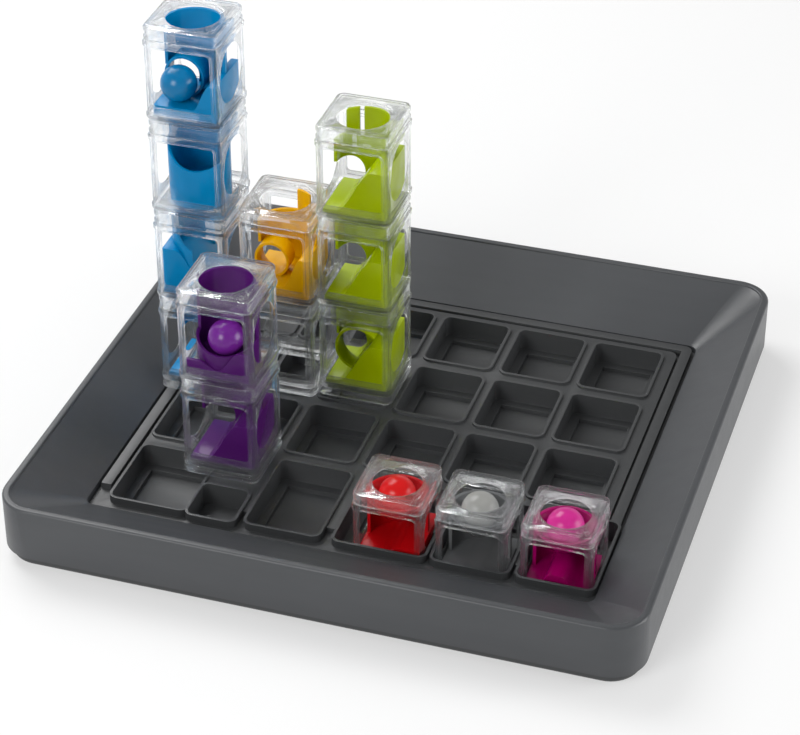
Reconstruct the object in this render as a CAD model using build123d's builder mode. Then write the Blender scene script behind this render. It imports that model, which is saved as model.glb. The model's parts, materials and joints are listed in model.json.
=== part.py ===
"""Marble logic puzzle: a dished tray with a grid of pockets, four towers of clear cubes,
three single clear cubes, coloured chutes inside the cubes and five marbles.

Millimetres, +Z up. The origin is on the table under the middle of the tray, X runs along the
front edge to the right and Y runs to the back.
"""

from build123d import *
import os

# Fits
marble_diameter = 16.0
marble_clearance = 0.1      # a marble above the surface that it rests on
cube_clearance = 0.3        # round a single cube in its pocket
insert_clearance = 0.3      # round a coloured chute in its clear cube
tower_gap = 0.15            # between towers that stand side by side
grid_clearance = 0.3        # round the pocket grid inside the rim
pan_clearance = 0.2         # between the bottom pan and the wall round it
screw_clearance = 0.1       # round a screw

# Tray rim
tray_width = 280.0
tray_depth = 270.0
tray_height = 31.2
tray_corner = 16.0
rim_wall = 2.2
ridge_width = 3.4
ridge_round = 1.2           # outer edge of the ridge
ridge_inner_round = 0.8
slope_drop = 0.9            # from the top of the ridge to the top of the slope
slope_left = 27.7
slope_right = 27.6
slope_front = 33.0
slope_back = 38.5
slope_corner = 4.0
flange_width = 3.0
flange_thickness = 1.8

# Bottom pan, feet and screws
foot_height = 0.8
foot_recess = 0.8
foot_radius = 7.0
foot_margin = 26.0
pan_floor = 1.6
pan_wall = 1.8
pan_overlap = 3.0
pan_round = 2.5
seam_height = 6.2
screw_margin = 14.0
screw_shank_radius = 1.5
screw_head_radius = 3.0
screw_head_height = 1.2
screw_bite = 9.0
screw_tip_room = 1.0        # in the boss, past the end of the screw
boss_radius = 4.0
pad_radius = 6.0
pad_height = 2.0

# Pocket grid
lip_height = 16.3           # top of the collars, where the towers stand
deck_drop = 1.2             # from the collar tops down to the deck between them
gutter_drop = 3.7           # from the collar tops down to the gutter round the deck
plate_thickness = 1.8
band_width = 4.6
band_rise = 0.5             # of the flat band above the deck
groove_width = 1.3
deck_setback = 8.0          # from the front of the first row to the front of the deck
collar_wall = 1.3
pocket_corner = 3.0
ledge_depth = 10.3
ledge_width = 4.2
recess_depth = 2.1
pocket_floor = 1.2
well_depth = 10.9

# Pocket places, from the tray's left and front edges
column_width = 31.2
column_pitch = 36.8
first_column = 112.5
left_column_start = 37.0
left_column_width = 31.0
well_start = 72.4
well_width = 19.0
row_depth = 36.6
row_pitch = 44.2
second_row = 112.6
left_pocket_extra = 6.3     # the left pocket of the second row reaches this much further forward
front_row_start = 40.0
front_row_depth = 47.0
front_left_depth = 39.6
front_web = 1.4             # between the first front pocket and the well beside it
front_well_width = 21.0
front_well_depth = 22.0
front_well_forward = 1.5
third_pocket_left = 98.5
third_pocket_right = 131.0
red_pocket_left = 138.0

# Clear cubes of the towers
tower_side = 34.8
tower_body_height = 37.6
tower_lid_height = 7.0
tower_window_width = 26.4
tower_window_low = 6.2
tower_window_high = 34.0
tower_port_radius = 13.3
tower_port_height = 19.6
tower_mouth_radius = 13.0
plinth_height = 4.0

# Single clear cubes
single_side = 32.0
single_body_height = 29.1
single_lid_height = 6.4
single_window_width = 24.0
single_window_low = 5.2
single_window_high = 26.4
single_port_radius = 10.4
single_port_height = 15.8
single_mouth_radius = 12.0

# Common to every clear cube
clear_wall = 1.7
clear_corner = 3.0
cube_floor = 1.6
floor_ledge = 3.0
lid_plate = 2.0
lid_inset = 0.5

# Coloured chutes, heights above the bottom of the cube
chute_sheet = 1.5
pipe_headroom = 1.4         # from the half pipe up to the lid plate
cup_radius = 12.5
blue_cup_floor = 9.0
yellow_cup_floor = 7.0
purple_cup_floor = 8.0
slot_width = 5.0            # of the slot between the two tabs of the top green half pipe
slot_turn = 35.0
slot_depth = 9.0
bowl_floor_radius = 5.0
bowl_rim = 28.0

# Ramps: height at the left, height at the right, and where the S-curve starts and ends
blue_platform = 6.4
blue_ramp_1 = (3.4, 24.0, -8.0, 10.0)
blue_ramp_2 = (24.0, 4.0, -10.0, 8.0)
blue_ramp_4 = (blue_platform, 25.1, 0.0, 10.0)
green_ramp_1 = (3.4, 25.2, -6.0, 11.0)
green_ramp_2 = (6.2, 28.2, -8.0, 10.0)
green_ramp_3 = (6.9, 26.6, -6.0, 9.0)
purple_ramp_1 = (8.8, 23.8, -6.0, 9.0)

# Wavy tops: level stretches from the left to the right, each with its start, end and height
tower_chute_reach = tower_side / 2 - clear_wall - insert_clearance
single_chute_reach = single_side / 2 - clear_wall - insert_clearance
blue_wave_3 = [(-tower_chute_reach, -12.0, 21.0), (-3.0, 3.0, 17.0), (12.0, tower_chute_reach, 25.0)]
yellow_wave_2 = [(-tower_chute_reach, -8.0, 9.0), (8.0, tower_chute_reach, 27.0)]
purple_wave_2 = [(-tower_chute_reach, -11.0, 20.0), (-2.0, 2.0, 11.6), (11.0, tower_chute_reach, 22.2)]
red_wave = [(-single_chute_reach, -5.0, 4.0), (6.0, single_chute_reach, 10.0)]
grey_wave = [(-single_chute_reach, -5.0, 3.4), (5.0, single_chute_reach, 5.0)]
pink_wave = [(-single_chute_reach, -9.0, 4.0), (-1.0, 1.0, 12.0), (9.0, single_chute_reach, 5.0)]

# Places of the towers and single cubes, from the tray's left and front edges
blue_tower_x = 44.0
blue_tower_y = 140.5
yellow_tower_y = 152.6
green_tower_y = 156.8
purple_tower_x = 77.4
purple_tower_y = 82.8
red_cube_x = 161.4
grey_cube_x = 197.5
pink_cube_x = 234.1

# Marbles in the towers, from the middle of their cube
blue_marble_x = -5.0
blue_marble_y = -7.0
purple_marble_x = 0.5
purple_marble_y = -3.5

# Worked out from the values above
deck_height = lip_height - deck_drop
gutter_height = lip_height - gutter_drop
plate_bottom = gutter_height - plate_thickness
ledge_height = lip_height - ledge_depth
recess_height = ledge_height - recess_depth
grid_bottom = recess_height - pocket_floor
well_bottom = lip_height - well_depth - pocket_floor
single_cube_y = front_row_start + cube_clearance + single_side / 2
tower_pitch = tower_body_height + tower_lid_height
tower_base = lip_height + plinth_height
marble_radius = marble_diameter / 2
snug = single_side / 2 + cube_clearance
slope_wide = tray_width - slope_left - slope_right
slope_deep = tray_depth - slope_front - slope_back
slope_x = (slope_left - slope_right) / 2
slope_y = (slope_front - slope_back) / 2


def from_left(distance):
    """X of a distance measured from the tray's left edge."""
    return distance - tray_width / 2


def from_front(distance):
    """Y of a distance measured from the tray's front edge."""
    return distance - tray_depth / 2


def at(x, y, z):
    """Level plane through a point."""
    return Plane(origin=(x, y, z), x_dir=(1, 0, 0), z_dir=(0, 0, 1))


def facing_front(base):
    """Upright plane through a base plane's middle: its X is X and its Y is up."""
    return Plane(origin=base.origin, x_dir=(1, 0, 0), z_dir=(0, -1, 0))


def facing_side(base):
    """Upright plane through a base plane's middle: its X is Y and its Y is up."""
    return Plane(origin=base.origin, x_dir=(0, 1, 0), z_dir=(1, 0, 0))


def save(builder, label):
    """Names a finished piece and writes its file."""
    builder.part.label = label
    export_step(builder.part, f"parts/{label}.step")


class Pocket:
    """One opening of the grid, by its edges measured from the tray's left and front."""

    def __init__(self, left, right, front, back):
        self.width = right - left
        self.depth = back - front
        self.x = from_left((left + right) / 2)
        self.y = from_front((front + back) / 2)


def outlines(pockets, grow=0.0, corner=0.0):
    """Adds each pocket's outline to the open sketch, grown on every side, with rounded corners."""
    for pocket in pockets:
        width = pocket.width + 2 * grow
        depth = pocket.depth + 2 * grow
        with Locations((pocket.x, pocket.y)):
            if corner:
                RectangleRounded(width, depth, corner)
            else:
                Rectangle(width, depth)


# The rows behind the front one have a left pocket, a narrow well and four equal pockets
cube_pockets = []
wells = []
for row in range(3):
    row_front = second_row + row * row_pitch - row_depth / 2
    row_back = row_front + row_depth
    left_front = row_front - left_pocket_extra if row == 0 else row_front
    cube_pockets.append(Pocket(left_column_start, left_column_start + left_column_width, left_front, row_back))
    wells.append(Pocket(well_start, well_start + well_width, row_front, row_back))
    for column in range(4):
        column_left = first_column + column * column_pitch - column_width / 2
        cube_pockets.append(Pocket(column_left, column_left + column_width, row_front, row_back))

# The front row is larger: three of its pockets hold the single cubes, against their front edge
front_back = front_row_start + front_row_depth
front_well_start = front_row_start - front_well_forward
pink_pocket = Pocket(pink_cube_x - snug, pink_cube_x + snug, front_row_start, front_back)
cube_pockets += [
    Pocket(left_column_start, well_start - front_web, front_row_start, front_row_start + front_left_depth),
    Pocket(third_pocket_left, third_pocket_right, front_row_start, front_back),
    Pocket(red_pocket_left, red_cube_x + snug, front_row_start, front_back),
    Pocket(grey_cube_x - snug, grey_cube_x + snug, front_row_start, front_back),
    pink_pocket,
]
wells.append(
    Pocket(well_start, well_start + front_well_width, front_well_start, front_well_start + front_well_depth)
)

# Screws and feet, near the corners of the tray
corners = [(-1, -1), (1, -1), (-1, 1), (1, 1)]
screw_x = tray_width / 2 - screw_margin
screw_y = tray_depth / 2 - screw_margin
foot_x = tray_width / 2 - foot_margin
foot_y = tray_depth / 2 - foot_margin
screw_places = [(sx * screw_x, sy * screw_y) for sx, sy in corners]
foot_places = [(sx * foot_x, sy * foot_y) for sx, sy in corners]
pad_top = foot_height + pan_floor + pad_height

os.makedirs("parts", exist_ok=True)

# Tray rim: outer wall, ridge, the slope all round, and the flange that carries the grid
slope_top = tray_height - slope_drop
dish_wide = tray_width - 2 * ridge_width
dish_deep = tray_depth - 2 * ridge_width
dish_corner = tray_corner - ridge_width
hollow_wide = tray_width - 2 * rim_wall
hollow_deep = tray_depth - 2 * rim_wall
hollow_corner = tray_corner - rim_wall
flange_bottom = plate_bottom - flange_thickness

# The hollow under the slope follows it at one wall's distance
with BuildPart() as rim_hollow:
    with BuildSketch(Plane.XY):
        RectangleRounded(hollow_wide, hollow_deep, hollow_corner)
    extrude(amount=slope_top - rim_wall)
    with BuildSketch(Plane.XY.offset(slope_top - rim_wall)):
        RectangleRounded(dish_wide, dish_deep, dish_corner)
    with BuildSketch(Plane.XY.offset(deck_height - rim_wall)):
        with Locations((slope_x, slope_y)):
            RectangleRounded(slope_wide, slope_deep, slope_corner)
    loft(mode=Mode.SUBTRACT)
    with BuildSketch(Plane.XY.offset(flange_bottom)):
        with Locations((slope_x, slope_y)):
            RectangleRounded(slope_wide + 2 * rim_wall, slope_deep + 2 * rim_wall, slope_corner + rim_wall)
    extrude(amount=deck_height - flange_bottom, mode=Mode.SUBTRACT)

with BuildPart() as tray_rim:
    with BuildSketch(Plane.XY.offset(seam_height)):
        RectangleRounded(tray_width, tray_depth, tray_corner)
    extrude(amount=tray_height - seam_height)
    fillet(tray_rim.edges().group_by(Axis.Z)[-1], ridge_round)
    add(rim_hollow.part, mode=Mode.SUBTRACT)
    # screw bosses, trimmed by the slope in the next step
    with BuildSketch(Plane.XY.offset(pad_top)):
        with Locations(*screw_places):
            Circle(boss_radius)
    extrude(amount=slope_top - pad_top)
    with BuildSketch(Plane.XY.offset(slope_top)):
        RectangleRounded(dish_wide, dish_deep, dish_corner)
    extrude(amount=slope_drop, mode=Mode.SUBTRACT)
    with BuildSketch(Plane.XY.offset(slope_top)):
        RectangleRounded(dish_wide, dish_deep, dish_corner)
    with BuildSketch(Plane.XY.offset(deck_height)):
        with Locations((slope_x, slope_y)):
            RectangleRounded(slope_wide, slope_deep, slope_corner)
    loft(mode=Mode.SUBTRACT)
    ridge_top = tray_rim.faces().sort_by(Axis.Z)[-1]
    fillet(ridge_top.inner_wires().edges(), ridge_inner_round)
    # seat of the pocket grid, with the flange left under its edge
    with BuildSketch(Plane.XY.offset(plate_bottom)):
        with Locations((slope_x, slope_y)):
            RectangleRounded(slope_wide, slope_deep, slope_corner)
    extrude(amount=deck_height - plate_bottom, mode=Mode.SUBTRACT)
    with BuildSketch(Plane.XY.offset(flange_bottom)):
        with Locations((slope_x, slope_y)):
            Rectangle(slope_wide - 2 * flange_width, slope_deep - 2 * flange_width)
        # the pink cube's pocket comes down beside the flange
        outlines([pink_pocket], grow=collar_wall + grid_clearance)
    extrude(amount=flange_thickness, mode=Mode.SUBTRACT)
    with BuildSketch(Plane.XY.offset(pad_top)):
        with Locations(*screw_places):
            Circle(screw_shank_radius + screw_clearance)
    extrude(amount=screw_bite + screw_tip_room, mode=Mode.SUBTRACT)
save(tray_rim, "tray_rim")

# Bottom pan, set in behind the wall so that a seam shows all round
pan_wide = hollow_wide - 2 * pan_clearance
pan_deep = hollow_deep - 2 * pan_clearance
pan_corner = hollow_corner - pan_clearance
with BuildPart() as base_pan:
    with BuildSketch(Plane.XY.offset(foot_height)):
        RectangleRounded(pan_wide, pan_deep, pan_corner)
    extrude(amount=seam_height + pan_overlap - foot_height)
    fillet(base_pan.edges().group_by(Axis.Z)[0], pan_round)
    with BuildSketch(Plane.XY.offset(foot_height + pan_floor)):
        RectangleRounded(pan_wide - 2 * pan_wall, pan_deep - 2 * pan_wall, pan_corner - pan_wall)
    extrude(amount=seam_height + pan_overlap - foot_height - pan_floor, mode=Mode.SUBTRACT)
    with BuildSketch(Plane.XY.offset(foot_height + pan_floor)):
        with Locations(*screw_places):
            Circle(pad_radius)
    extrude(amount=pad_height)
    with BuildSketch(Plane.XY.offset(foot_height)):
        with Locations(*screw_places):
            Circle(screw_head_radius + screw_clearance)
    extrude(amount=screw_head_height, mode=Mode.SUBTRACT)
    with BuildSketch(Plane.XY.offset(foot_height)):
        with Locations(*screw_places):
            Circle(screw_shank_radius + screw_clearance)
    extrude(amount=pan_floor + pad_height, mode=Mode.SUBTRACT)
    with BuildSketch(Plane.XY.offset(foot_height)):
        with Locations(*foot_places):
            Circle(foot_radius)
    extrude(amount=foot_recess, mode=Mode.SUBTRACT)
save(base_pan, "base_pan")

# Rubber feet, in their recesses in the pan
with BuildPart() as rubber_feet:
    with BuildSketch(Plane.XY):
        with Locations(*foot_places):
            Circle(foot_radius)
    extrude(amount=foot_height + foot_recess)
save(rubber_feet, "rubber_feet")

# Screws, up through the pan into the bosses
with BuildPart() as pan_screws:
    with BuildSketch(Plane.XY.offset(foot_height)):
        with Locations(*screw_places):
            Circle(screw_head_radius)
    extrude(amount=screw_head_height)
    with BuildSketch(Plane.XY.offset(foot_height + screw_head_height)):
        with Locations(*screw_places):
            Circle(screw_shank_radius)
    extrude(amount=pad_top - foot_height - screw_head_height + screw_bite)
save(pan_screws, "pan_screws")

# Pocket grid: plate, deck, flat band and a collared, stepped well at each pocket
grid_wide = slope_wide - 2 * grid_clearance
grid_deep = slope_deep - 2 * grid_clearance
band_wide = grid_wide - 2 * groove_width
band_deep = grid_deep - 2 * groove_width
inside_wide = band_wide - 2 * band_width
inside_deep = band_deep - 2 * band_width
deck_front = from_front(front_row_start + deck_setback)
deck_back = slope_y + inside_deep / 2 - groove_width
band_front = slope_y - band_deep / 2
with BuildPart() as pocket_grid:
    with BuildSketch(Plane.XY.offset(plate_bottom)):
        with Locations((slope_x, slope_y)):
            RectangleRounded(grid_wide, grid_deep, slope_corner)
    extrude(amount=plate_thickness)
    # flat band round the sides and the back, open at the front
    with BuildSketch(Plane.XY.offset(gutter_height)):
        with Locations((slope_x, slope_y)):
            RectangleRounded(band_wide, band_deep, slope_corner)
            Rectangle(inside_wide, inside_deep, mode=Mode.SUBTRACT)
        with Locations((slope_x, (band_front + deck_front) / 2)):
            Rectangle(band_wide, deck_front - band_front, mode=Mode.SUBTRACT)
    extrude(amount=deck_height + band_rise - gutter_height)
    with BuildSketch(Plane.XY.offset(gutter_height)):
        with Locations((slope_x, (deck_front + deck_back) / 2)):
            RectangleRounded(inside_wide - 2 * groove_width, deck_back - deck_front, slope_corner)
    extrude(amount=deck_height - gutter_height)
    with BuildSketch(Plane.XY.offset(gutter_height)):
        outlines(cube_pockets + wells, grow=collar_wall, corner=pocket_corner + collar_wall)
    extrude(amount=lip_height - gutter_height)
    # walls of the pockets below the plate
    with BuildSketch(Plane.XY.offset(plate_bottom)):
        outlines(cube_pockets, grow=collar_wall)
    extrude(amount=grid_bottom - plate_bottom)
    with BuildSketch(Plane.XY.offset(plate_bottom)):
        outlines(wells, grow=collar_wall)
    extrude(amount=well_bottom - plate_bottom)
    # the openings, and the recess inside each ledge
    with BuildSketch(Plane.XY.offset(lip_height)):
        outlines(cube_pockets, corner=pocket_corner)
    extrude(amount=-ledge_depth, mode=Mode.SUBTRACT)
    with BuildSketch(Plane.XY.offset(lip_height)):
        outlines(wells, corner=pocket_corner)
    extrude(amount=-well_depth, mode=Mode.SUBTRACT)
    with BuildSketch(Plane.XY.offset(ledge_height)):
        outlines(cube_pockets, grow=-ledge_width)
    extrude(amount=-recess_depth, mode=Mode.SUBTRACT)
save(pocket_grid, "pocket_grid")


class Cube:
    """Sizes of one kind of clear cube."""

    def __init__(self, side, body, lid, window, port, mouth):
        self.side = side
        self.body = body
        self.lid = lid
        self.window_width, self.window_low, self.window_high = window
        self.port_radius, self.port_height = port
        self.mouth = mouth
        self.inside = side - 2 * clear_wall
        self.lid_side = side - 2 * lid_inset
        self.lid_inside = self.lid_side - 2 * clear_wall
        self.ceiling = body + lid - lid_plate
        self.chute = self.inside / 2 - insert_clearance
        self.pipe = self.lid_inside / 2 - insert_clearance
        self.pipe_top = self.ceiling - pipe_headroom


tower_cube = Cube(
    tower_side,
    tower_body_height,
    tower_lid_height,
    (tower_window_width, tower_window_low, tower_window_high),
    (tower_port_radius, tower_port_height),
    tower_mouth_radius,
)
single_cube = Cube(
    single_side,
    single_body_height,
    single_lid_height,
    (single_window_width, single_window_low, single_window_high),
    (single_port_radius, single_port_height),
    single_mouth_radius,
)


def clear_body(cube, base):
    """Open box with a window front and back, a round port in each side and an open floor."""
    with BuildPart() as body:
        with BuildSketch(base):
            RectangleRounded(cube.side, cube.side, clear_corner)
        extrude(amount=cube.body)
        with BuildSketch(base.offset(cube_floor)):
            Rectangle(cube.inside, cube.inside)
        extrude(amount=cube.body - cube_floor, mode=Mode.SUBTRACT)
        with BuildSketch(base):
            Rectangle(cube.inside - 2 * floor_ledge, cube.inside - 2 * floor_ledge)
        extrude(amount=cube_floor, mode=Mode.SUBTRACT)
        with BuildSketch(facing_front(base)):
            with Locations((0, (cube.window_low + cube.window_high) / 2)):
                Rectangle(cube.window_width, cube.window_high - cube.window_low)
        extrude(amount=cube.side, both=True, mode=Mode.SUBTRACT)
        with BuildSketch(facing_side(base)):
            with Locations((0, cube.port_height)):
                Circle(cube.port_radius)
        extrude(amount=cube.side, both=True, mode=Mode.SUBTRACT)
    return body


def clear_lid(cube, base):
    """Cap with a skirt and the round mouth that a marble is dropped through."""
    with BuildPart() as lid:
        with BuildSketch(base.offset(cube.body)):
            RectangleRounded(cube.lid_side, cube.lid_side, clear_corner)
        extrude(amount=cube.lid)
        with BuildSketch(base.offset(cube.body)):
            Rectangle(cube.lid_inside, cube.lid_inside)
        extrude(amount=cube.lid - lid_plate, mode=Mode.SUBTRACT)
        with BuildSketch(base.offset(cube.ceiling)):
            Circle(cube.mouth)
        extrude(amount=lid_plate, mode=Mode.SUBTRACT)
    return lid


def plinth(cube, base):
    """Low square ring that a tower stands on."""
    with BuildPart() as ring:
        with BuildSketch(base):
            RectangleRounded(cube.side, cube.side, clear_corner)
            Rectangle(cube.inside - 2 * floor_ledge, cube.inside - 2 * floor_ledge, mode=Mode.SUBTRACT)
        extrude(amount=-plinth_height)
    return ring


def wave_outline(base, flats):
    """Front outline of a block whose top runs from left to right along level stretches
    (start, end, height) joined by S-curves.
    """
    with BuildSketch(facing_front(base)) as outline:
        with BuildLine():
            for start, end, height in flats:
                if start < end:
                    Line((start, height), (end, height))
            for (_, end, height), (start, _, next_height) in zip(flats, flats[1:]):
                Spline((end, height), (start, next_height), tangents=((1, 0), (1, 0)))
            left_end, _, left_height = flats[0]
            _, right_end, right_height = flats[-1]
            if right_height > cube_floor:
                Line((right_end, right_height), (right_end, cube_floor))
            Line((right_end, cube_floor), (left_end, cube_floor))
            if left_height > cube_floor:
                Line((left_end, cube_floor), (left_end, left_height))
        make_face()
    return outline.sketch


def pipe_outline(cube, base, turn=0.0):
    """Half ring seen from above, its open side turned from the front."""
    with BuildSketch(base.offset(cube_floor)) as outline:
        Circle(cube.pipe)
        Circle(cube.pipe - chute_sheet, mode=Mode.SUBTRACT)
        Rectangle(2 * cube.pipe, cube.pipe, rotation=turn, align=(Align.CENTER, Align.MAX), mode=Mode.SUBTRACT)
    return outline.sketch


def ramp_chute(cube, base, left, right, start, end, turn=0.0):
    """Ramp from one height at the left to another at the right, hollow from below, with the
    half pipe that guides a marble down behind it.
    """
    reach = cube.chute
    inner_reach = reach - chute_sheet
    if left < right:
        foot = start + chute_sheet
        hollow = [(foot, foot, cube_floor), (end + chute_sheet, inner_reach, right - chute_sheet)]
    else:
        foot = end - chute_sheet
        hollow = [(-inner_reach, start - chute_sheet, left - chute_sheet), (foot, foot, cube_floor)]
    with BuildPart() as chute:
        extrude(wave_outline(base, [(-reach, start, left), (end, reach, right)]), amount=reach, both=True)
        extrude(wave_outline(base, hollow), amount=inner_reach, both=True, mode=Mode.SUBTRACT)
        extrude(pipe_outline(cube, base, turn), amount=cube.pipe_top - cube_floor)
    return chute


def cup_chute(cube, base, cup_floor, flats):
    """Block with a wavy top and a round cup sunk into it."""
    with BuildPart() as chute:
        extrude(wave_outline(base, flats), amount=cube.chute, both=True)
        with BuildSketch(base.offset(cup_floor)):
            Circle(cup_radius)
        extrude(amount=cube.ceiling - cup_floor, mode=Mode.SUBTRACT)
        extrude(pipe_outline(cube, base), amount=cube.pipe_top - cube_floor)
    return chute


def slotted_chute(cube, base, ramp):
    """Ramp whose half pipe is cut by a slot at the top, which leaves a narrow and a wide tab."""
    with BuildPart() as chute:
        add(ramp_chute(cube, base, *ramp).part)
        with BuildSketch(base.offset(cube.pipe_top - slot_depth)):
            Rectangle(slot_width, 2 * cube.pipe, rotation=slot_turn, align=(Align.CENTER, Align.MIN))
        extrude(amount=slot_depth, mode=Mode.SUBTRACT)
    return chute


def bowl_chute(cube, base, flats, floor):
    """Low wave in front, and a bowl under the mouth that a half pipe holds up from behind."""
    with BuildPart() as chute:
        extrude(wave_outline(base, flats), amount=cube.chute, both=True)
        extrude(pipe_outline(cube, base), amount=bowl_rim - cube_floor)
        with BuildSketch(facing_front(base)):
            with BuildLine():
                Polyline(
                    (0, floor),
                    (bowl_floor_radius, floor),
                    (cube.pipe - chute_sheet, bowl_rim),
                    (cube.pipe, bowl_rim),
                    (bowl_floor_radius + chute_sheet, floor - chute_sheet),
                    (0, floor - chute_sheet),
                    close=True,
                )
            make_face()
        revolve(axis=Axis(base.origin, (0, 0, 1)))
    return chute


def marble(base, x, y, height):
    """One marble, by its centre over the bottom of its cube."""
    with BuildPart(base.offset(height)) as ball:
        with Locations((x, y)):
            Sphere(marble_radius)
    return ball


class Tower:
    """A stack of clear cubes: its name, its middle on the tray and its number of cubes."""

    def __init__(self, name, x, y, count):
        self.name = name
        self.x = from_left(x)
        self.y = from_front(y)
        self.count = count

    def base(self, number):
        """Bottom of one cube, counted from 1 at the plinth."""
        return at(self.x, self.y, tower_base + (number - 1) * tower_pitch)


yellow_tower_x = blue_tower_x + tower_side + tower_gap
green_tower_x = yellow_tower_x + tower_side + tower_gap
blue = Tower("blue", blue_tower_x, blue_tower_y, 4)
green = Tower("green", green_tower_x, green_tower_y, 3)
yellow = Tower("yellow", yellow_tower_x, yellow_tower_y, 2)
purple = Tower("purple", purple_tower_x, purple_tower_y, 2)

# Clear pieces of the towers
for tower in (blue, green, yellow, purple):
    save(plinth(tower_cube, tower.base(1)), f"{tower.name}_plinth")
    for number in range(1, tower.count + 1):
        save(clear_body(tower_cube, tower.base(number)), f"{tower.name}_body_{number}")
        save(clear_lid(tower_cube, tower.base(number)), f"{tower.name}_lid_{number}")

# Chutes of the towers. The lower yellow cube is empty
save(ramp_chute(tower_cube, blue.base(1), *blue_ramp_1), "blue_chute_1")
save(ramp_chute(tower_cube, blue.base(2), *blue_ramp_2, turn=90.0), "blue_chute_2")
save(cup_chute(tower_cube, blue.base(3), blue_cup_floor, blue_wave_3), "blue_chute_3")
save(ramp_chute(tower_cube, blue.base(4), *blue_ramp_4), "blue_chute_4")
save(ramp_chute(tower_cube, green.base(1), *green_ramp_1), "green_chute_1")
save(ramp_chute(tower_cube, green.base(2), *green_ramp_2), "green_chute_2")
save(slotted_chute(tower_cube, green.base(3), green_ramp_3), "green_chute_3")
save(cup_chute(tower_cube, yellow.base(2), yellow_cup_floor, yellow_wave_2), "yellow_chute_2")
save(ramp_chute(tower_cube, purple.base(1), *purple_ramp_1), "purple_chute_1")
save(cup_chute(tower_cube, purple.base(2), purple_cup_floor, purple_wave_2), "purple_chute_2")

# Single cubes, on the ledges of their pockets, with a marble in each bowl
marble_seat = marble_clearance + marble_radius
bowl_floor = single_body_height + single_lid_height - marble_diameter - marble_clearance
singles = [
    ("red", red_cube_x, red_wave),
    ("grey", grey_cube_x, grey_wave),
    ("pink", pink_cube_x, pink_wave),
]
for name, x, wave in singles:
    base = at(from_left(x), from_front(single_cube_y), ledge_height)
    save(clear_body(single_cube, base), f"{name}_body")
    save(clear_lid(single_cube, base), f"{name}_lid")
    save(bowl_chute(single_cube, base, wave, bowl_floor), f"{name}_chute")
    save(marble(base, 0, 0, bowl_floor + marble_seat), f"{name}_marble")

# Marbles in the top cubes of two towers
blue_seat = blue_platform + marble_seat
save(marble(blue.base(4), blue_marble_x, blue_marble_y, blue_seat), "blue_marble")
purple_seat = purple_cup_floor + marble_seat
save(marble(purple.base(2), purple_marble_x, purple_marble_y, purple_seat), "purple_marble")
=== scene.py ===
import json
import math

import bpy
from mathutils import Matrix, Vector

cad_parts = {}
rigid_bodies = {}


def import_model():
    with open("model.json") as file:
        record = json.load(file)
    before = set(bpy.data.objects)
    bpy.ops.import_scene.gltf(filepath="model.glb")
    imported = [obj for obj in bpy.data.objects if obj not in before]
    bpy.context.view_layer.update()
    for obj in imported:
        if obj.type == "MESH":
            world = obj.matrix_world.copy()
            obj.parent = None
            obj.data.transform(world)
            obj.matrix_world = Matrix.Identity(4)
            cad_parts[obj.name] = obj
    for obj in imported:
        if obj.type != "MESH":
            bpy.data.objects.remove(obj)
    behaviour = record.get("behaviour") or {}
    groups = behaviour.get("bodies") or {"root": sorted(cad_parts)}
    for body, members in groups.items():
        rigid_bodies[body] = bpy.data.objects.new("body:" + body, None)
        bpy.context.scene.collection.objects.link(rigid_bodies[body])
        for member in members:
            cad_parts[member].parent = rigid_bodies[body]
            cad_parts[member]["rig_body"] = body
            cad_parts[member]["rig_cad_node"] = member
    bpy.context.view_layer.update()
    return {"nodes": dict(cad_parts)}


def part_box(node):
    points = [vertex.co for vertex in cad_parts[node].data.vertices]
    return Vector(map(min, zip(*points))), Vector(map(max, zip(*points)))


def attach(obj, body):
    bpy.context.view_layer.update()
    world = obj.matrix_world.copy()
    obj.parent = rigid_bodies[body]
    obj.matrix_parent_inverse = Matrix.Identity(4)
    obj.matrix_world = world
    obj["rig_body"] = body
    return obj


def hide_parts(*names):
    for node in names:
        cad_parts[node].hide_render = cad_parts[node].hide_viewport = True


for left_over in list(bpy.data.objects):
    bpy.data.objects.remove(left_over)
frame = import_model()
MM = 0.001

# Camera, where the photograph was taken from
CAMERA_PLACE = (0.2908, -0.9184, 0.6920)
CAMERA_TILT = math.radians(56.01)
CAMERA_TURN = math.radians(17.72)
CAMERA_LENS = 118.0
SENSOR_WIDTH = 36.0

# Light
AMBIENT = 0.5
CEILING_DIM = 0.6           # how much darker the ceiling is in reflections
CEILING_START = 0.15
CEILING_END = 0.55
FLOOR_GLOW = 0.45           # share of plain white in the floor
FLOOR_SIZE = 12.0

# Clear cubes, as in the moulding
WALL = 1.7 * MM
FLOOR = 1.6 * MM
FLOOR_LEDGE = 3.0 * MM
LID_PLATE = 2.0 * MM
LID_INSET = 0.5 * MM
PLINTH_HEIGHT = 4.0 * MM
MARBLE_RADIUS = 8.0 * MM

# Detail common to all clear mouldings
CORNER = 3.2 * MM
CAVITY_CORNER = 1.8 * MM
OPENING_CORNER = 3.0 * MM
WINDOW_CORNER = 1.6 * MM
JOINT_GAP = 0.05 * MM
FACE_STEP = 0.45 * MM       # of the faces, in from the ledges at the foot and the top
FRAME_WIDTH = 1.1 * MM      # round a window
RING_WIDTH = 1.2 * MM       # round a port
FRAME_DEPTH = 0.5 * MM
PANEL_LOW = 3.9 * MM
PANEL_HIGH = 3.2 * MM       # down from the top of the body
PANEL_DEPTH = 0.6 * MM
POST_WIDTH = 4.0 * MM
POST_LINE = 2.3 * MM
POST_LINE_WIDTH = 0.8 * MM
POST_LINE_DEPTH = 0.5 * MM
MOUTH_STEP = 1.3 * MM       # of the ring inside the lid's mouth
LID_LINE = 1.8 * MM         # groove round the lid, in from its side
LID_LINE_WIDTH = 0.8 * MM
LID_LINE_DEPTH = 0.45 * MM
PIN_PLACE = 3.4 * MM
PIN_DEPTH = 0.4 * MM
PIN_OUTER = 1.3 * MM
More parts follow.
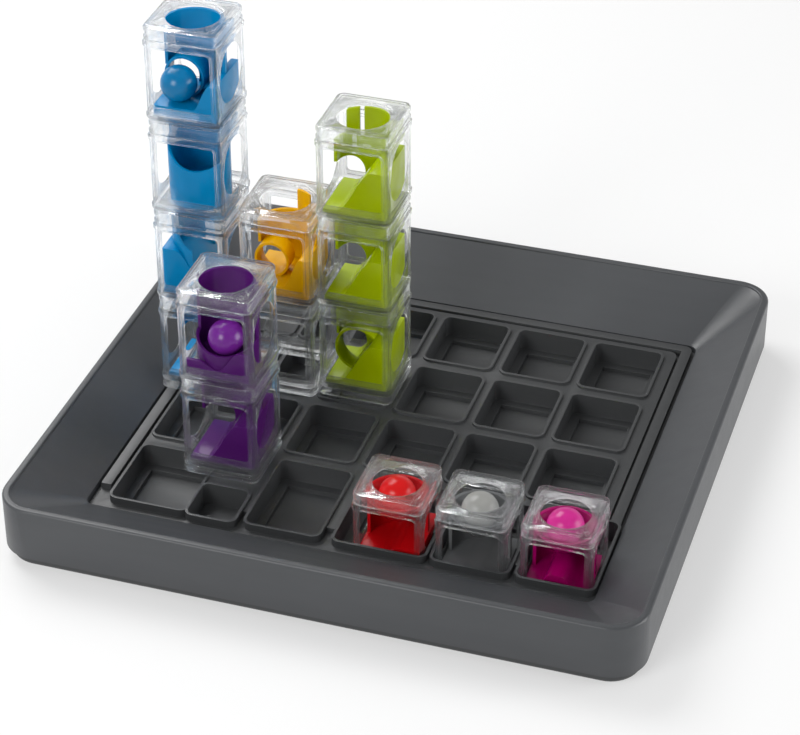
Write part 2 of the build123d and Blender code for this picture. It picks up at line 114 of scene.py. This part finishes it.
PIN_INNER = 0.8 * MM

# Coloured chutes of the towers, over the bottom of their cube
CHUTE = 15.4 * MM
PIPE = 14.9 * MM
PIPE_TOP = 41.2 * MM
SHEET = 1.5 * MM
EXIT_ACROSS = 13.5 * MM
EXIT_HEIGHT = 9.0 * MM
EXIT_RADIUS = 10.0 * MM
PLATFORM = 6.4 * MM
GATE_WALL = 1.2 * MM
GATE_LENGTH = 9.0 * MM
CURVE_STEPS = 10
CHUTE_SHARE = 0.92          # of the width between the clear walls

# In millimetres. Ramps: height at the left and the right, start and end of the S-curve
BLUE_RAMP_1 = (3.4, 24.0, -4.0, 10.0)
BLUE_RAMP_2 = (24.0, 4.0, -9.0, 8.0)
BLUE_RAMP_4 = (6.4, 18.5, 4.0, 12.4)
GREEN_RAMP = (3.4, 24.2, -9.0, 9.0)
YELLOW_RAMP = (6.4, 21.5, 3.0, 12.0)
PURPLE_RAMP = (3.4, 23.0, -7.5, 9.0)
# Gates: X, outer radius, and how far the face is in front of the cube's middle
BLUE_GATE = (-5.0, 9.8, 2.0)
GREEN_GATE = (-2.0, 11.4, 7.0)
YELLOW_GATE = (-6.0, 8.8, 6.0)
# Slots down into a half pipe: left, right and bottom
GREEN_SLOTS = [(-16, -11, 30), (-6, -3.8, 27), (9.5, 16, 30)]
YELLOW_SLOTS = [(-16, 1, 31), (8.5, 16, 31)]
SLOT_TOP = 50
# Round dips in a front rim: X and radius
BLUE_SCOOP = (6.0, 18.0)
BLUE_DIP = (3.0, 21.0)
PURPLE_DIP = (0.5, 29.0)
BLUE_CUP_FLOOR = 9.0
PURPLE_CUP_FLOOR = 8.0
# Front sheet: level stretches, each with its start, end and height
PURPLE_WAVE = [(-15.4, -9, 9), (0, 0, 5.5), (10.5, 15.4, 15.5)]

# Colours as they render, linear
TRAY_GREY = (0.040, 0.043, 0.048)
GRID_GREY = (0.030, 0.032, 0.034)
CLEAR_TINT = (0.985, 0.992, 0.996)
INSERT_COLOURS = {
    "blue": (0.0, 0.170, 0.380),
    "green": (0.270, 0.350, 0.0),
    "yellow": (0.640, 0.320, 0.0),
    "purple": (0.058, 0.007, 0.098),
    "red": (0.380, 0.002, 0.004),
    "grey": (0.100, 0.102, 0.104),
    "pink": (0.250, 0.0, 0.080),
}
MARBLE_COLOURS = {
    "blue": (0.0, 0.140, 0.320),
    "purple": (0.120, 0.012, 0.200),
    "red": (0.560, 0.006, 0.006),
    "grey": (0.280, 0.280, 0.266),
    "pink": (0.520, 0.020, 0.220),
}


class Signal:
    """One output of a shader node, which Python's own operators work on."""

    def __init__(self, finish, socket):
        self.finish = finish
        self.socket = socket

    def maths(self, operation, first, second):
        return self.finish.node("Math", {"operation": operation}, {0: first, 1: second})

    def __add__(self, other):
        return self.maths("ADD", self, other)

    def __radd__(self, other):
        return self.maths("ADD", other, self)

    def __sub__(self, other):
        return self.maths("SUBTRACT", self, other)

    def __rsub__(self, other):
        return self.maths("SUBTRACT", other, self)

    def __mul__(self, other):
        return self.maths("MULTIPLY", self, other)

    def __rmul__(self, other):
        return self.maths("MULTIPLY", other, self)

    def largest(self, other):
        return self.maths("MAXIMUM", self, other)


class Finish:
    """One material, or the world round the object. Every node is made by the method node."""

    def __init__(self, name, kind="Material"):
        shelf = bpy.data.materials if kind == "Material" else bpy.data.worlds
        self.kind = kind
        self.owner = shelf.new(name)
        self.owner.use_nodes = True
        self.tree = self.owner.node_tree
        self.tree.nodes.clear()

    def node(self, kind, settings=None, inputs=None, output=0):
        """Adds a node, sets its settings first and then the values or links of its sockets."""
        made = self.tree.nodes.new("ShaderNode" + kind)
        for name, value in (settings or {}).items():
            setattr(made, name, value)
        for name, value in (inputs or {}).items():
            if isinstance(value, Signal):
                self.tree.links.new(value.socket, made.inputs[name])
            elif isinstance(value, tuple) and len(made.inputs[name].default_value) == 4:
                made.inputs[name].default_value = (*value, 1.0)
            else:
                made.inputs[name].default_value = value
        return Signal(self, made.outputs[output]) if made.outputs else None

    def principled(self, inputs):
        return self.node("BsdfPrincipled", {}, inputs)

    def place(self, scale=(1.0, 1.0, 1.0)):
        """Object coordinates, drawn out along an axis by a small scale."""
        coordinates = self.node("TexCoord", output="Object")
        return self.node("Mapping", {}, {"Vector": coordinates, "Scale": scale})

    def noise(self, place, scale, detail=2.0):
        inputs = {"Vector": place, "Scale": scale, "Detail": detail, "Roughness": 0.5}
        return self.node("TexNoise", {"noise_dimensions": "3D"}, inputs)

    def between(self, mask, first, second):
        """A colour between two colours."""
        return self.node("Mix", {"data_type": "RGBA"}, {0: mask, 6: first, 7: second}, output=2)

    def mixed(self, share, first, second):
        """A shader between two shaders."""
        return self.node("MixShader", {}, {0: share, 1: first, 2: second})

    def relief(self, height, distance, strength):
        return self.node("Bump", {}, {"Height": height, "Distance": distance, "Strength": strength})

    def seen_directly(self):
        """1 for what the camera, a reflection or clear plastic looks at, and 0 for light."""
        camera, glossy, through = [
            self.node("LightPath", output=f"Is {ray} Ray") for ray in ("Camera", "Glossy", "Transmission")
        ]
        return camera.largest(glossy).largest(through)

    def finish(self, surface):
        self.node("Output" + self.kind, {}, {"Surface": surface})
        return self.owner


def paler(colour, share):
    """A colour moved towards white."""
    return tuple(c + (1.0 - c) * share for c in colour)


def scaled(colour, share):
    """The same hue, brighter or darker."""
    return tuple(c * share for c in colour)


def satin_moulding(name, colour, roughness):
    """Spark-eroded satin plastic: fine grain, faint cloudiness and soft rub marks."""
    finish = Finish(name)
    place = finish.place()
    cloud = finish.noise(place, 22.0, detail=3.0)
    grain = finish.noise(place, 2400.0)
    rubs = finish.noise(finish.place((9.0, 60.0, 60.0)), 3.0, detail=4.0)
    tone = finish.between(cloud, scaled(colour, 0.94), paler(colour, 0.012))
    inputs = {
        "Base Color": finish.between(rubs * 0.4, tone, paler(colour, 0.03)),
        "Roughness": roughness + (cloud - 0.5) * 0.10 - rubs * 0.05,
        "IOR": 1.5,
        "Normal": finish.relief(grain, 0.06 * MM, 0.35),
    }
    return finish.finish(finish.principled(inputs))


def clear_moulding(name, milkiness):
    """Clear crystal plastic: part of the light goes straight through, the rest is bent as in
    solid plastic, and a faint milkiness shows at the edges. Shadows keep the light that passes.
    """
    finish = Finish(name)
    ripple = finish.noise(finish.place(), 140.0, detail=1.0)
    haze = finish.noise(finish.place(), 40.0)
    relief = finish.relief(ripple, 0.02 * MM, 0.5)
    inputs = {
        "Base Color": CLEAR_TINT,
        "Roughness": haze * 0.02,
        "IOR": 1.45,
        "Transmission Weight": 1.0,
        "Normal": relief,
    }
    glass = finish.principled(inputs)
    straight = finish.node("BsdfTransparent", {}, {"Color": CLEAR_TINT})
    edge = finish.node("LayerWeight", {}, {"Blend": 0.5}, output="Facing")
    clear = finish.mixed(0.15 + edge * 0.85, straight, glass)
    milk = finish.node("BsdfTranslucent", {}, {"Color": (0.86, 0.87, 0.88), "Normal": relief})
    milky = finish.mixed(milkiness * (0.5 + edge * 0.6 + haze * 0.4), clear, milk)
    passing = finish.node("BsdfTransparent", {}, {"Color": (0.93, 0.94, 0.95)})
    return finish.finish(finish.mixed(finish.node("LightPath", output="Is Shadow Ray"), milky, passing))


def glossy_moulding(name, colour):
    """Bright glossy plastic of the chutes, with a faint flow ripple."""
    finish = Finish(name)
    place = finish.place()
    cloud = finish.noise(place, 60.0)
    flow = finish.noise(place, 300.0)
    inputs = {
        "Base Color": finish.between(cloud, scaled(colour, 0.9), scaled(colour, 1.08)),
        "Roughness": 0.16 + cloud * 0.08,
        "IOR": 1.5,
        "Specular IOR Level": 0.15,
        "Normal": finish.relief(flow, 0.03 * MM, 0.4),
    }
    return finish.finish(finish.principled(inputs))


def polished_marble(name, colour):
    """Polished solid marble with a faint swirl below the gloss."""
    finish = Finish(name)
    swirl = finish.noise(finish.place(), 120.0, detail=3.0)
    inputs = {
        "Base Color": finish.between(swirl, scaled(colour, 0.88), scaled(colour, 1.1)),
        "Roughness": 0.18 + swirl * 0.06,
        "IOR": 1.5,
        "Specular IOR Level": 0.30,
    }
    return finish.finish(finish.principled(inputs))


def black_rubber():
    """Dull rubber of the feet."""
    finish = Finish("foot_rubber")
    place = finish.place()
    grain = finish.noise(place, 1500.0)
    dust = finish.noise(place, 90.0, detail=3.0)
    inputs = {
        "Base Color": finish.between(dust, (0.012, 0.012, 0.013), (0.035, 0.035, 0.036)),
        "Roughness": 0.75 + dust * 0.15,
        "Normal": finish.relief(grain, 0.08 * MM, 0.5),
    }
    return finish.finish(finish.principled(inputs))


def zinc_steel():
    """Zinc-plated steel of the screws."""
    finish = Finish("zinc_steel")
    lines = finish.noise(finish.place((1.0, 1.0, 8.0)), 900.0)
    inputs = {
        "Base Color": finish.between(lines, (0.42, 0.43, 0.44), (0.62, 0.63, 0.64)),
        "Metallic": 1.0,
        "Roughness": 0.28 + lines * 0.15,
        "Normal": finish.relief(lines, 0.02 * MM, 0.5),
    }
    return finish.finish(finish.principled(inputs))


def floor_finish():
    """Pale floor that shows nearly white and keeps a soft shadow."""
    finish = Finish("floor")
    matt = finish.node("BsdfDiffuse", {}, {"Color": (0.82, 0.82, 0.82)})
    glow = finish.node("Emission", {}, {"Color": (1.0, 1.0, 1.0), "Strength": 1.0})
    return finish.finish(finish.mixed(finish.seen_directly() * FLOOR_GLOW, matt, glow))


def studio():
    """Even light from all round, seen as plain white, with a dimmer ceiling in reflections."""
    finish = Finish("studio", "World")
    direction = finish.node("TexCoord", output="Generated")
    height = finish.node("SeparateXYZ", {}, {"Vector": direction}, output="Z")
    slope = {"Value": height, "From Min": CEILING_START, "From Max": CEILING_END}
    ceiling = finish.node("MapRange", {}, slope)
    ambient = finish.node("Background", {}, {"Strength": AMBIENT})
    mirrored = finish.node("Background", {}, {"Strength": 1.0 - ceiling * CEILING_DIM})
    white = finish.node("Background", {}, {"Color": (1.0, 1.0, 1.0), "Strength": 1.0})
    reflections = finish.mixed(finish.seen_directly(), ambient, mirrored)
    return finish.finish(finish.mixed(finish.node("LightPath", output="Is Camera Ray"), reflections, white))


def softbox(name, place, target, size, power):
    """Square area lamp aimed at a point."""
    lamp = bpy.data.lights.new(name, "AREA")
    lamp.shape = "SQUARE"
    lamp.size = size
    lamp.energy = power
    lamp_holder = bpy.data.objects.new(name, lamp)
    bpy.context.scene.collection.objects.link(lamp_holder)
    lamp_holder.location = place
    aim = Vector(target) - Vector(place)
    lamp_holder.rotation_euler = aim.to_track_quat("-Z", "Y").to_euler()


def deselect():
    bpy.ops.object.select_all(action="DESELECT")


def pick(piece):
    """Makes one piece the only selected and the active one."""
    deselect()
    piece.select_set(True)
    bpy.context.view_layer.objects.active = piece


def edit_all():
    """Enters edit mode with everything selected."""
    bpy.ops.object.mode_set(mode="EDIT")
    bpy.ops.mesh.select_all(action="SELECT")


def close_outline():
    """Turns the faces of the extruded outline outwards and leaves edit mode."""
    bpy.ops.mesh.select_all(action="SELECT")
    bpy.ops.mesh.normals_make_consistent(inside=False)
    bpy.ops.object.mode_set(mode="OBJECT")


def extrude_by(move):
    bpy.ops.mesh.extrude_region_move(TRANSFORM_OT_translate={"value": move})


def raise_outline(levels):
    """In edit mode, extrudes the selected face up through (height, size) levels."""
    height, size = levels[0]
    for next_height, next_size in levels[1:]:
        extrude_by((0, 0, next_height - height))
        ratio = next_size / size
        if abs(ratio - 1.0) > 1e-9:
            bpy.ops.transform.resize(value=(ratio, ratio, 1), center_override=(0, 0, next_height))
        height, size = next_height, next_size
    close_outline()


def block(name, width, depth, corner, levels):
    """Block with rounded upright edges. Levels are (height, half width) from the bottom up."""
    deselect()
    bpy.ops.mesh.primitive_plane_add(size=1, location=(0, 0, levels[0][0]))
    piece = bpy.context.object
    piece.name = name
    piece.scale = (width, depth, 1)
    bpy.ops.object.transform_apply(location=True, rotation=True, scale=True)
    edit_all()
    if corner:
        bpy.ops.mesh.bevel(offset=corner, segments=6, affect="VERTICES")
    raise_outline(levels)
    return piece


def drum(name, levels, sides=64):
    """Round block. Levels are (height, radius) from the bottom up."""
    deselect()
    height, radius = levels[0]
    bpy.ops.mesh.primitive_circle_add(
        vertices=sides, radius=radius, fill_type="NGON", location=(0, 0, height)
    )
    piece = bpy.context.object
    piece.name = name
    bpy.ops.object.transform_apply(location=True, rotation=True, scale=True)
    edit_all()
    raise_outline(levels)
    return piece


def slab(width, depth, low, high, corner=0):
    """Straight block to cut with."""
    return block("cutter", width, depth, corner, [(low, 1), (high, 1)])


def rod(radius, low, high, sides=64):
    """Straight round block to cut with."""
    return drum("cutter", [(low, radius), (high, radius)], sides)


def outlined(points, near, far):
    """Block with an outline seen from the front, its points (x, height), between two depths."""
    deselect()
    bpy.ops.mesh.primitive_circle_add(vertices=len(points), radius=MM, fill_type="NGON")
    piece = bpy.context.object
    for vertex, (across, height) in zip(piece.data.vertices, points):
        vertex.co = (across, near, height)
    edit_all()
    extrude_by((0, far - near, 0))
    close_outline()
    return piece


def shift(piece, offset, turn=(0.0, 0.0, 0.0)):
    """Turns a piece about the origin, moves it and leaves its object at the origin."""
    pick(piece)
    piece.rotation_euler = turn
    piece.location = offset
    bpy.ops.object.transform_apply(location=True, rotation=True, scale=True)
    return piece


def carve(piece, *cutters):
    """Cuts each cutter out of a piece."""
    for cutter in cutters:
        pick(piece)
        cut = piece.modifiers.new("cut", "BOOLEAN")
        cut.operation = "DIFFERENCE"
        cut.solver = "EXACT"
        cut.object = cutter
        bpy.ops.object.modifier_apply(modifier=cut.name)
        bpy.data.objects.remove(cutter)
    return piece


def joined(piece, other):
    """Makes one piece of two."""
    pick(piece)
    other.select_set(True)
    bpy.ops.object.join()
    return piece


def soften(piece, width, segments=2):
    """Rounds the sharp edges of a piece and shades it smooth."""
    pick(piece)
    rounding = piece.modifiers.new("rounding", "BEVEL")
    rounding.width = width
    rounding.segments = segments
    rounding.limit_method = "ANGLE"
    rounding.angle_limit = math.radians(28.0)
    rounding.harden_normals = False
    bpy.ops.object.modifier_apply(modifier=rounding.name)
    bpy.ops.object.shade_smooth_by_angle(angle=math.radians(35.0))
    return piece


def copy_of(piece, name):
    """A copy with its own mesh."""
    made = piece.copy()
    made.data = piece.data.copy()
    made.name = name
    made.data.name = name
    bpy.context.scene.collection.objects.link(made)
    return made


def base_of(node):
    """Middle of the underside of a node."""
    low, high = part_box(node)
    return Vector(((low.x + high.x) / 2, (low.y + high.y) / 2, low.z))


def stands_for(piece, node, slot, material):
    """A finished piece takes a node's place, finish and motion."""
    piece.data.materials.clear()
    piece.data.materials.append(material)
    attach(piece, frame["nodes"][node]["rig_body"])
    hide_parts(node)


def dressed(node, rounding, segments=2):
    """A merged copy of a node's own form with its sharp edges rounded."""
    piece = copy_of(frame["nodes"][node], node + "_form")
    piece.parent = None
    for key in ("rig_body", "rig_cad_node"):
        if key in piece:
            del piece[key]
    pick(piece)
    piece.data.materials.clear()
    bpy.ops.mesh.customdata_custom_splitnormals_clear()
    edit_all()
    bpy.ops.mesh.remove_doubles(threshold=0.002 * MM)
    bpy.ops.mesh.dissolve_limited(angle_limit=math.radians(0.5))
    bpy.ops.object.mode_set(mode="OBJECT")
    return soften(piece, rounding, segments)


class CubeForm:
    """Sizes of one kind of clear cube, in metres, as the moulding has them."""

    def __init__(self, side, body, lid, window, port, mouth):
        self.half = side / 2
        self.body = body
        self.lid = lid
        self.window_width, self.window_low, self.window_high = window
        self.port_radius, self.port_height = port
        self.mouth = mouth


tower_form = CubeForm(
    34.8 * MM, 37.6 * MM, 7.0 * MM, (26.4 * MM, 6.2 * MM, 34.0 * MM), (13.3 * MM, 19.6 * MM), 13.0 * MM
)
single_form = CubeForm(
    32.0 * MM, 29.1 * MM, 6.4 * MM, (24.0 * MM, 5.2 * MM, 26.4 * MM), (10.4 * MM, 15.8 * MM), 12.0 * MM
)


def window_cutter(form, grow, low, high):
    """Upright rounded block along Y, from low to high."""
    width = form.window_width + 2 * grow
    height = form.window_high - form.window_low + 2 * grow
    middle = (form.window_low + form.window_high) / 2
    cutter = slab(width, height, low, high, WINDOW_CORNER + grow)
    return shift(cutter, (0, 0, middle), (math.radians(90), 0, 0))


def port_cutter(form, radius, low, high):
    """Round cutter along X through a side wall."""
    return shift(rod(radius, low, high), (0, 0, form.port_height), (0, math.radians(90), 0))


def clear_body(form):
    """Body of a clear cube: posts, stepped ledges, framed windows, ringed ports and sunk panels."""
    half = form.half
    face = half - FACE_STEP
    outline = [
        (0.0, half - 0.9 * MM),
        (0.7 * MM, half - 0.2 * MM),
        (1.4 * MM, half),
        (3.0 * MM, half),
        (3.3 * MM, face),
        (form.body - 2.6 * MM, face),
        (form.body - 2.3 * MM, half),
        (form.body - 0.7 * MM, half),
        (form.body - JOINT_GAP, half - 0.6 * MM),
    ]
    size = 2 * outline[0][1]
    piece = block("clear_body", size, size, CORNER, outline)
    inside = 2 * (half - WALL)
    opening = inside - 2 * FLOOR_LEDGE
    sunk = face - FRAME_DEPTH
    ring = form.port_radius + RING_WIDTH
    carve(
        piece,
        slab(inside, inside, FLOOR, 2 * form.body, CAVITY_CORNER),
        slab(opening, opening, -MM, 2 * MM, OPENING_CORNER),
        window_cutter(form, 0.0, -2 * half, 2 * half),
        window_cutter(form, FRAME_WIDTH, sunk, 2 * half),
        window_cutter(form, FRAME_WIDTH, -2 * half, -sunk),
        port_cutter(form, form.port_radius, -2 * half, 2 * half),
        port_cutter(form, ring, sunk, 2 * half),
        port_cutter(form, ring, -2 * half, -sunk),
    )
    for turn in range(4):
        for across, width, depth in (
            (0.0, 2 * (half - POST_WIDTH), PANEL_DEPTH),
            (POST_LINE - half, POST_LINE_WIDTH, POST_LINE_DEPTH),
            (half - POST_LINE, POST_LINE_WIDTH, POST_LINE_DEPTH),
        ):
            cutter = slab(width, MM, PANEL_LOW, form.body - PANEL_HIGH)
            shift(cutter, (across, depth - face - MM / 2, 0))
            shift(cutter, (0, 0, 0), (0, 0, math.radians(90 * turn)))
            carve(piece, cutter)
    return soften(piece, 0.3 * MM)


def clear_lid(form):
    """Lid of a clear cube: rounded top, lined plate, four pins and a stepped mouth."""
    half = form.half - LID_INSET
    low = form.body + JOINT_GAP
    top = form.body + form.lid - JOINT_GAP
    ceiling = form.body + form.lid - LID_PLATE
    outline = [
        (low, half - 0.4 * MM),
        (low + 0.5 * MM, half),
        (low + 1.9 * MM, half),
        (low + 2.2 * MM, half - 0.4 * MM),
        (top - 2.7 * MM, half - 0.4 * MM),
        (top - 2.4 * MM, half),
        (top - 1.0 * MM, half),
        (top - 0.35 * MM, half - 0.35 * MM),
        (top, half - 1.0 * MM),
    ]
    mouth = [
        (ceiling - MM, form.mouth - MOUTH_STEP),
        (top - 1.1 * MM, form.mouth - MOUTH_STEP),
        (top - 1.0 * MM, form.mouth),
        (top - 0.5 * MM, form.mouth),
        (top - 0.4 * MM, form.mouth + 0.7 * MM),
        (top + MM, form.mouth + 1.6 * MM),
    ]
    size = 2 * outline[0][1]
    piece = block("clear_lid", size, size, CORNER, outline)
    inside = 2 * (half - WALL)
    line = 2 * (half - LID_LINE)
    island = line - 2 * LID_LINE_WIDTH
    groove = slab(line, line, top - LID_LINE_DEPTH, top + MM, 2 * MM)
    carve(groove, slab(island, island, top - MM, top + 2 * MM, 1.6 * MM))
    carve(piece, slab(inside, inside, 0.0, ceiling, CAVITY_CORNER), drum("cutter", mouth), groove)
    pin_place = half - PIN_PLACE
    for across in (-pin_place, pin_place):
        for along in (-pin_place, pin_place):
            ring = rod(PIN_OUTER, top - PIN_DEPTH, top + MM, sides=24)
            carve(ring, rod(PIN_INNER, top - MM, top + 2 * MM, sides=24))
            carve(piece, shift(ring, (across, along, 0)))
    return soften(piece, 0.22 * MM)


def clear_plinth(form, height):
    """Two rounded tiers that a tower stands on."""
    half = form.half
    outline = [
        (JOINT_GAP, half - 0.7 * MM),
        (0.5 * MM, half),
        (1.5 * MM, half),
        (1.9 * MM, half - 0.5 * MM),
        (2.2 * MM, half - 0.5 * MM),
        (2.6 * MM, half - 0.1 * MM),
        (height - 0.6 * MM, half - 0.1 * MM),
        (height - JOINT_GAP, half - 0.7 * MM),
    ]
    size = 2 * outline[0][1]
    piece = block("clear_plinth", size, size, CORNER, outline)
    opening = 2 * (half - WALL - FLOOR_LEDGE)
    carve(piece, slab(opening, opening, -MM, 2 * height, OPENING_CORNER))
    return soften(piece, 0.25 * MM)


def wavy(flats, near, far):
    """Block on the cube's floor whose top runs level along (start, end, height) stretches,
    joined by S-curves.
    """
    points = []
    for start, end, height in flats:
        if points:
            last_x, last_height = points[-1]
            across, up = start - last_x, height - last_height
            for step in range(1, CURVE_STEPS):
                share = step / CURVE_STEPS
                rise = share * share * (3 - 2 * share)
                points.append((last_x + across * share, last_height + up * rise))
        points.append((start, height))
        if end > start:
            points.append((end, height))
    points += [(points[-1][0], FLOOR / MM), (points[0][0], FLOOR / MM)]
    return outlined([(x * MM, height * MM) for x, height in points], near, far)


def round_from_front(across, height, radius, near, far):
    """Round block along Y."""
    return shift(rod(radius, -far, -near), (across, 0, height), (math.radians(90), 0, 0))


def half_pipe(turn):
    """Half ring behind the ramp, its open side turned from the front."""
    piece = drum("pipe", [(FLOOR, PIPE), (PIPE_TOP, PIPE)])
    front = shift(slab(4 * PIPE, 2 * PIPE, -MM, 2 * PIPE_TOP), (0, -PIPE, 0))
    shift(front, (0, 0, 0), (0, 0, math.radians(turn)))
    return carve(piece, rod(PIPE - SHEET, -MM, 2 * PIPE_TOP), front)


def ramp_form(ramp, turn=0, gate=None, slots=(), scoop=None):
    """Ramp, the half pipe behind it with its way out at the low side, and what is cut into them."""
    left, right, start, end = ramp
    low_side = -1 if left < right else 1
    reach = 2 * PIPE
    pipe = half_pipe(turn)
    carve(pipe, round_from_front(low_side * EXIT_ACROSS, EXIT_HEIGHT, EXIT_RADIUS, -reach, reach))
    piece = wavy([(-CHUTE / MM, start, left), (end, CHUTE / MM, right)], -CHUTE, CHUTE)
    foot, crest = (start + 3, end) if left < right else (end - 3, start)
    inside = -low_side * (CHUTE - SHEET)
    high = max(left, right) * MM - SHEET
    hollow = [(foot * MM, 0), (inside, 0), (inside, high), (crest * MM, high)]
    carve(piece, outlined(hollow, SHEET - CHUTE, CHUTE - SHEET))
    for slot_left, slot_right, bottom in slots:
        sides = [(slot_left, bottom), (slot_right, bottom), (slot_right, SLOT_TOP), (slot_left, SLOT_TOP)]
        carve(pipe, outlined([(x * MM, height * MM) for x, height in sides], 0, reach))
    if scoop:
        across, radius = scoop
        carve(pipe, round_from_front(across * MM, PIPE_TOP, radius * MM, -reach, 0))
    if gate:
        across, radius, forward = (value * MM for value in gate)
        height = PLATFORM + radius - GATE_WALL
        near, far = -forward, GATE_LENGTH - forward
        ring = round_from_front(across, height, radius, near, far)
        for cut in (ring, pipe, piece):
            carve(cut, round_from_front(across, height, radius - GATE_WALL, near - MM, far + MM))
        joined(piece, ring)
    return joined(pipe, piece)


def cup_form(cup_floor, dip, wave=None):
    """Round cup, hollow from below, with a dip in its front rim and perhaps a wavy front sheet."""
    piece = drum("cup", [(FLOOR, PIPE), (PIPE_TOP, PIPE)])
    inside = PIPE - SHEET
    across, radius = dip
    carve(
        piece,
        rod(inside, cup_floor * MM, 2 * PIPE_TOP),
        rod(inside, 0, cup_floor * MM - SHEET),
        round_from_front(across * MM, PIPE_TOP, radius * MM, -2 * PIPE, 0),
    )
    if wave:
        joined(piece, wavy(wave, -CHUTE, SHEET - CHUTE))
    return piece


def round_marble(radius):
    """Ball with evenly spread faces, from a subdivided cube pressed to a sphere."""
    deselect()
    bpy.ops.mesh.primitive_cube_add(size=2 * radius)
    piece = bpy.context.object
    edit_all()
    bpy.ops.mesh.subdivide(number_cuts=11)
    bpy.ops.transform.tosphere(value=1.0)
    bpy.ops.object.mode_set(mode="OBJECT")
    for vertex in piece.data.vertices:
        vertex.co = vertex.co.normalized() * radius
    bpy.ops.object.shade_smooth()
    return piece


# Materials
tray_plastic = satin_moulding("tray_plastic", TRAY_GREY, 0.42)
grid_plastic = satin_moulding("grid_plastic", GRID_GREY, 0.45)
pan_plastic = satin_moulding("pan_plastic", GRID_GREY, 0.5)
clear_plastics = {
    "body": clear_moulding("clear_body_plastic", 0.02),
    "lid": clear_moulding("clear_lid_plastic", 0.08),
    "plinth": clear_moulding("clear_plinth_plastic", 0.06),
}
insert_plastics = {name: glossy_moulding(name + "_insert", c) for name, c in INSERT_COLOURS.items()}
marble_finishes = {name: polished_marble(name + "_marble_glass", c) for name, c in MARBLE_COLOURS.items()}

# Tray: node, slot, material, width and segments of the rounding
for node, slot, material, rounding, segments in (
    ("tray_rim", "tray_plastic", tray_plastic, 0.3, 2),
    ("pocket_grid", "grid_plastic", grid_plastic, 0.4, 3),
    ("base_pan", "pan_plastic", pan_plastic, 0.3, 2),
    ("rubber_feet", "feet", black_rubber(), 0.3, 2),
    ("pan_screws", "steel", zinc_steel(), 0.2, 2),
):
    stands_for(dressed(node, rounding * MM, segments), node, slot, material)

# Clear pieces, each kind modelled once
forms = {
    "tower_body": clear_body(tower_form),
    "tower_lid": clear_lid(tower_form),
    "tower_plinth": clear_plinth(tower_form, PLINTH_HEIGHT),
    "single_body": clear_body(single_form),
    "single_lid": clear_lid(single_form),
}
chutes = {
    "blue_chute_1": ramp_form(BLUE_RAMP_1),
    "blue_chute_2": ramp_form(BLUE_RAMP_2, turn=90, scoop=BLUE_SCOOP),
    "blue_chute_3": cup_form(BLUE_CUP_FLOOR, BLUE_DIP),
    "blue_chute_4": ramp_form(BLUE_RAMP_4, gate=BLUE_GATE),
    "green_chute_1": ramp_form(GREEN_RAMP, gate=GREEN_GATE),
    "green_chute_2": ramp_form(GREEN_RAMP),
    "green_chute_3": ramp_form(GREEN_RAMP, slots=GREEN_SLOTS),
    "yellow_chute_2": ramp_form(YELLOW_RAMP, gate=YELLOW_GATE, slots=YELLOW_SLOTS),
    "purple_chute_1": ramp_form(PURPLE_RAMP),
    "purple_chute_2": cup_form(PURPLE_CUP_FLOOR, PURPLE_DIP, PURPLE_WAVE),
}
for node in sorted(frame["nodes"]):
    colour, part = node.split("_")[:2]
    kind = "tower" if colour in ("blue", "green", "yellow", "purple") else "single"
    if part in ("body", "lid", "plinth"):
        piece = copy_of(forms[f"{kind}_{part}"], node + "_clear")
        base = base_of(node)
        if part == "lid":
            base.z -= tower_form.body if kind == "tower" else single_form.body
        shift(piece, base)
        stands_for(piece, node, "clear", clear_plastics[part])
    elif node in chutes:
        piece = soften(chutes[node], 0.3 * MM)
        piece.name = node + "_form"
        piece.data.name = piece.name
        piece.scale = (CHUTE_SHARE, CHUTE_SHARE, 1)
        shift(piece, base_of(node) - Vector((0, 0, FLOOR)))
        stands_for(piece, node, colour + "_insert", insert_plastics[colour])
    elif part == "chute":
        stands_for(dressed(node, 0.3 * MM), node, colour + "_insert", insert_plastics[colour])
for form in forms.values():
    bpy.data.objects.remove(form)

# Marbles
ball = round_marble(MARBLE_RADIUS)
for name, material in marble_finishes.items():
    node = name + "_marble"
    low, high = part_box(node)
    piece = shift(copy_of(ball, node + "_ball"), (low + high) / 2)
    stands_for(piece, node, name + "_glass", material)
bpy.data.objects.remove(ball)

# Floor, light and camera
deselect()
bpy.ops.mesh.primitive_plane_add(size=FLOOR_SIZE, location=(0, 0, 0))
floor = bpy.context.object
floor.name = "floor"
floor.data.materials.append(floor_finish())

bpy.context.scene.world = studio()
softbox("key_lamp", (-0.75, 0.45, 1.05), (0, 0, 0.05), 0.8, 13.0)
softbox("front_lamp", (-0.45, -1.30, 0.75), (0, 0, 0.08), 0.7, 12.0)
softbox("right_lamp", (1.20, 0.10, 0.30), (0.12, 0, 0.02), 0.7, 9.0)

camera = bpy.data.cameras.new("camera")
camera.lens = CAMERA_LENS
camera.sensor_width = SENSOR_WIDTH
holder = bpy.data.objects.new("camera", camera)
bpy.context.scene.collection.objects.link(holder)
holder.location = CAMERA_PLACE
holder.rotation_euler = (CAMERA_TILT, 0, CAMERA_TURN)
bpy.context.scene.camera = holder
bpy.context.scene.view_settings.view_transform = "Standard"
